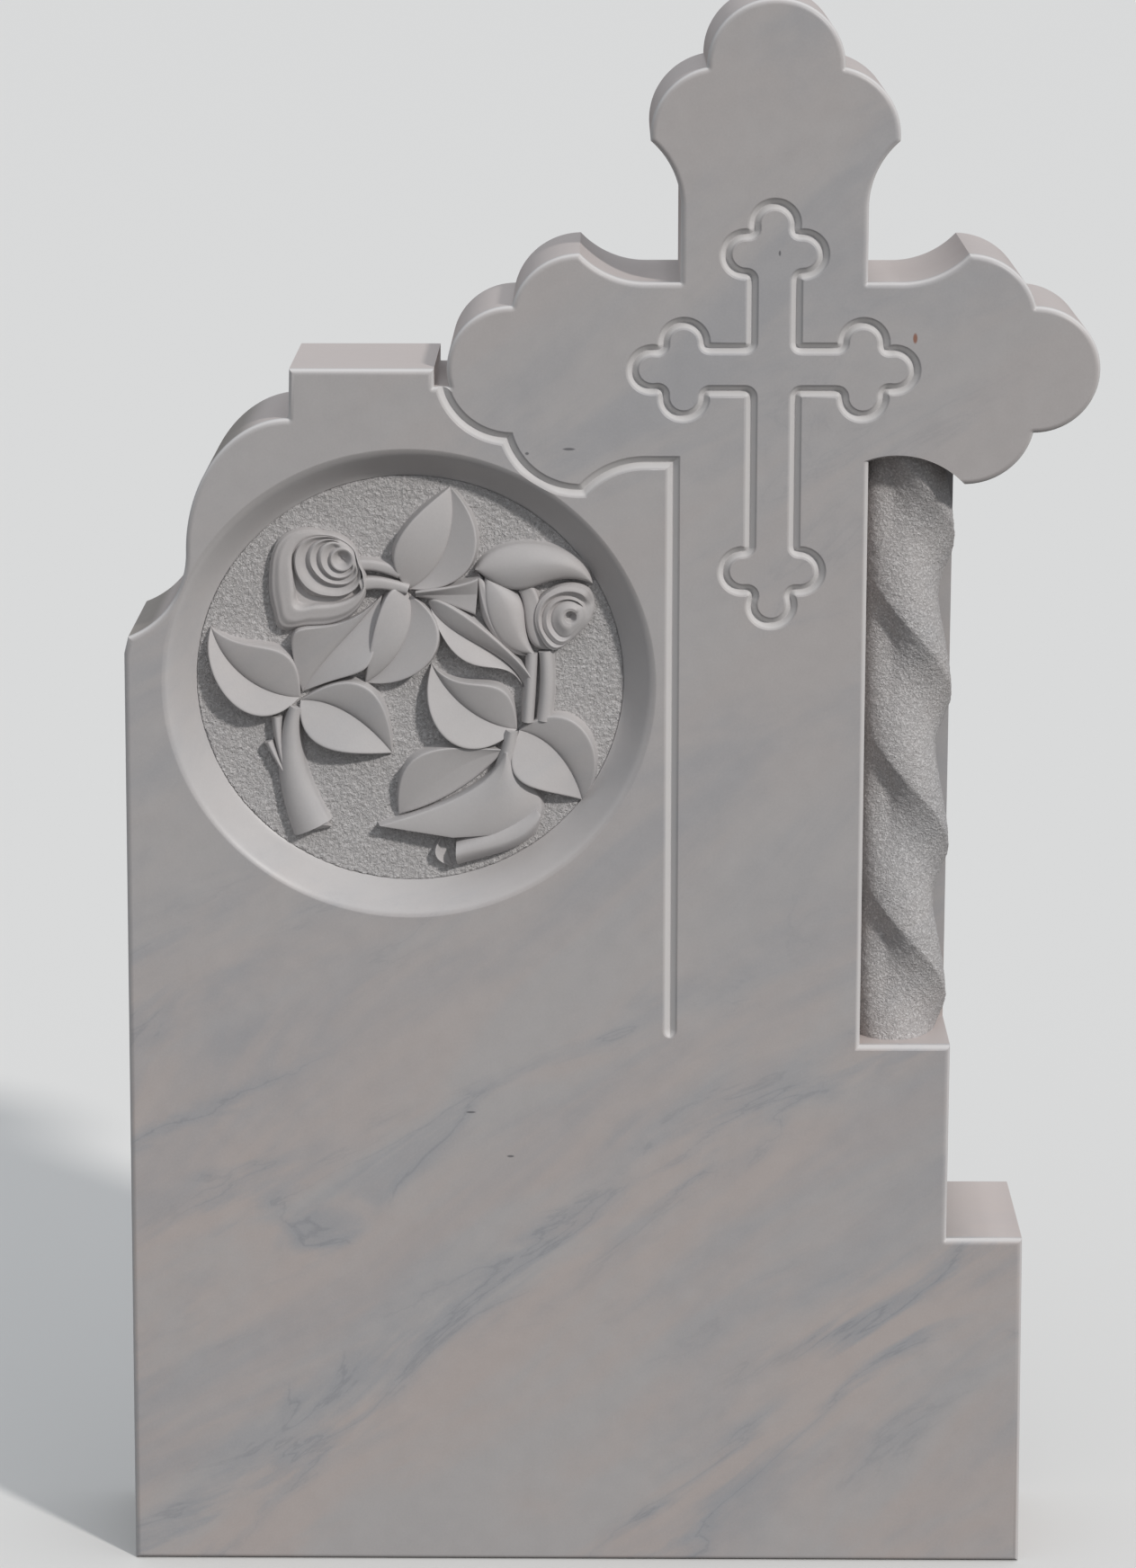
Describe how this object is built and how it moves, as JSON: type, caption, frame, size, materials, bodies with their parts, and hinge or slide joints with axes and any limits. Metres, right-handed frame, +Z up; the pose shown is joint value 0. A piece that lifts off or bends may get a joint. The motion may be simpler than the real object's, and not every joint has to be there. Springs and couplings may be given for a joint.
{
  "type": "grave monument",
  "caption": "Upright marble grave monument: a trefoil-ended cross beside a stepped panel with a sunk medallion of roses and a twisted column.",
  "frame": {"origin": "middle of the underside's box, on the ground", "axes": "+Z up, -Y towards the viewer of the carved face, +X to that viewer's right"},
  "size_m": [0.7258, 0.145, 1.1998],
  "materials": {
    "marble": "honed, with a tooled ground in the medallion"
  },
  "bodies": {
    "root": {"marble_monument": "marble"}
  },
  "joints": []
}
